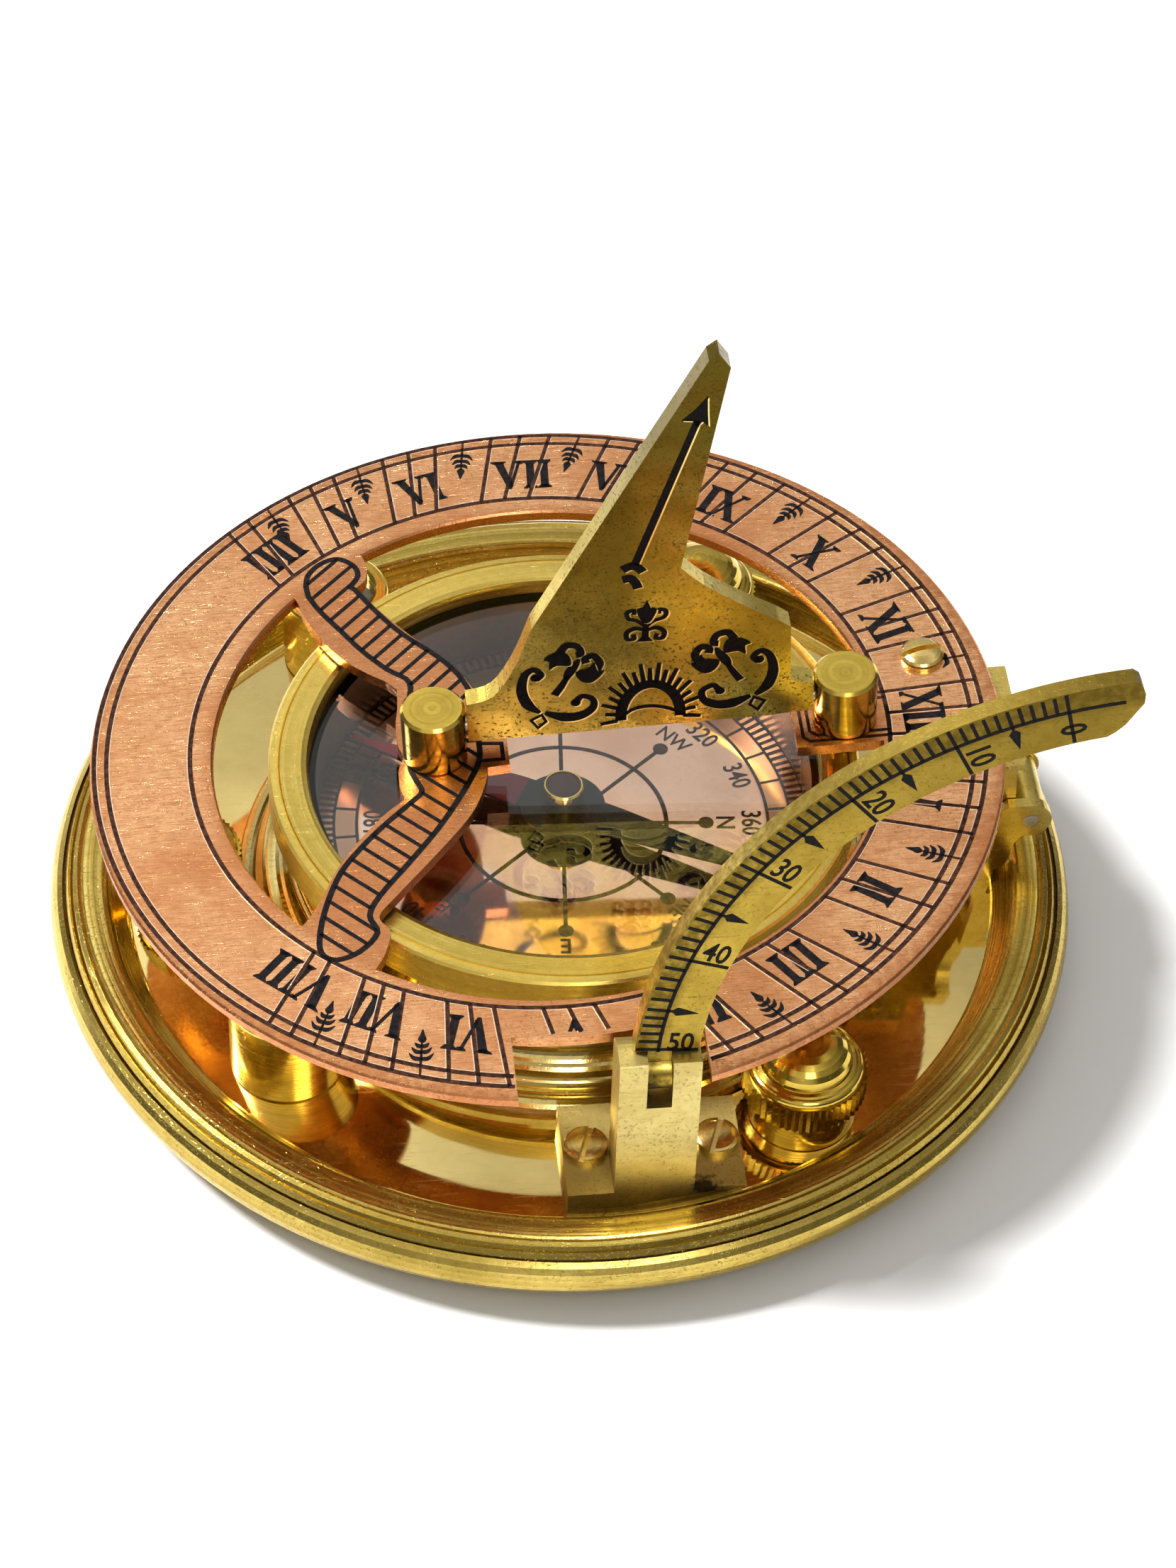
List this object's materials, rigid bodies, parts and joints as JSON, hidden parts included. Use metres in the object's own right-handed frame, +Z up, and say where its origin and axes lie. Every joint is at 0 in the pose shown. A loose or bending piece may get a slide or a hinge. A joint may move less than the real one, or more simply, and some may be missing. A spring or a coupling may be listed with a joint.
{
  "type": "sundial compass",
  "caption": "Brass table sundial with a hinged copper hour ring, folding gnomon and latitude arc over a bowl compass on a round levelled base.",
  "frame": {"origin": "on the table, under the middle of the compass", "axes": "+X along the noon line towards the ring's hinge, +Z up, -Y towards the latitude arc"},
  "size_m": [0.127, 0.127, 0.0931],
  "materials": {
    "turned_brass": "turned with fine concentric lines, lightly tarnished",
    "polished_brass": "polished to a mirror",
    "brushed_brass": "brushed, with dull olive patches",
    "aged_brass": "aged and speckled, worn bright on its edges",
    "screw_brass": "polished, with file marks",
    "copper": "satin copper plating with dark etched lines and fine scratches",
    "card_copper": "pale satin copper plate with dark etched scale",
    "steel": "bright steel",
    "needle_paint": "blued black, one half painted dark red",
    "jewel": "polished dark red stone",
    "glass": "clear flat glass",
    "level_glass": "dark green spirit under glass"
  },
  "bodies": {
    "base": {"base_dish": "turned_brass", "compass_case": "polished_brass", "case_screws": "screw_brass", "compass_card": "card_copper", "needle_pivot": "steel", "glass_seat_ring": "polished_brass", "compass_glass": "glass", "compass_bezel": "turned_brass", "knob_bush_1": "polished_brass", "knob_bush_2": "polished_brass", "knob_bush_3": "polished_brass", "front_level_cup": "polished_brass", "front_level_vial": "level_glass", "front_level_cap": "polished_brass", "rear_level_cup": "polished_brass", "rear_level_vial": "level_glass", "rear_level_cap": "polished_brass", "arc_bracket": "brushed_brass", "bracket_screws": "screw_brass", "arc_pin": "steel", "hinge_bracket": "brushed_brass", "hinge_bracket_screws": "screw_brass", "hinge_pin": "steel"},
    "hour_ring": {"hour_ring": "copper", "foot_post": "turned_brass", "head_post": "turned_brass", "post_nuts": "screw_brass", "hinge_leaf": "brushed_brass", "leaf_screws": "screw_brass"},
    "gnomon": {"gnomon": "aged_brass", "gnomon_pins": "steel"},
    "latitude_arc": {"latitude_arc": "brushed_brass"},
    "compass_needle": {"compass_needle": "needle_paint", "needle_cap": "screw_brass", "cap_jewel": "jewel"},
    "levelling_stem_1": {"levelling_stem_1": "polished_brass"},
    "levelling_knob_1": {"levelling_knob_1": "polished_brass"},
    "levelling_stem_2": {"levelling_stem_2": "polished_brass"},
    "levelling_knob_2": {"levelling_knob_2": "polished_brass"},
    "levelling_stem_3": {"levelling_stem_3": "polished_brass"},
    "levelling_knob_3": {"levelling_knob_3": "polished_brass"}
  },
  "joints": [
    {"name": "ring_tilt", "type": "hinge", "parent": "base", "child": "hour_ring", "pos_m": [0.05758, 0, 0.0173], "axis": [0, 1, 0], "range_deg": [0, 66]},
    {"name": "gnomon_fold", "type": "hinge", "parent": "hour_ring", "child": "gnomon", "pos_m": [-0.00237, 0, 0.0351], "axis": [0.999, 0, 0.0445], "range_deg": [-90, 45]},
    {"name": "arc_fold", "type": "hinge", "parent": "base", "child": "latitude_arc", "pos_m": [0.0055, -0.0509, 0.0298], "axis": [1, 0, 0], "range_deg": [-62, 3]},
    {"name": "needle_spin", "type": "hinge", "parent": "base", "child": "compass_needle", "pos_m": [0, 0, 0.0183], "axis": [0, 0, 1], "continuous": true},
    {"name": "screw_travel_1", "type": "slide", "parent": "base", "child": "levelling_stem_1", "axis": [0, 0, 1], "range_m": [0, 0.005]},
    {"name": "knob_turn_1", "type": "hinge", "parent": "levelling_stem_1", "child": "levelling_knob_1", "pos_m": [0.0249, -0.03986, 0.0109], "axis": [0, 0, 1], "range_deg": [0, 2250]},
    {"name": "screw_travel_2", "type": "slide", "parent": "base", "child": "levelling_stem_2", "axis": [0, 0, 1], "range_m": [0, 0.005]},
    {"name": "knob_turn_2", "type": "hinge", "parent": "levelling_stem_2", "child": "levelling_knob_2", "pos_m": [0.02207, 0.0415, 0.0109], "axis": [0, 0, 1], "range_deg": [0, 2250]},
    {"name": "screw_travel_3", "type": "slide", "parent": "base", "child": "levelling_stem_3", "axis": [0, 0, 1], "range_m": [0, 0.005]},
    {"name": "knob_turn_3", "type": "hinge", "parent": "levelling_stem_3", "child": "levelling_knob_3", "pos_m": [-0.047, 0, 0.0109], "axis": [0, 0, 1], "range_deg": [0, 2250]}
  ],
  "couplings": [
    {"joint": "knob_turn_1", "follows": "screw_travel_1", "rad_per_m": 7854},
    {"joint": "knob_turn_2", "follows": "screw_travel_2", "rad_per_m": 7854},
    {"joint": "knob_turn_3", "follows": "screw_travel_3", "rad_per_m": 7854}
  ]
}
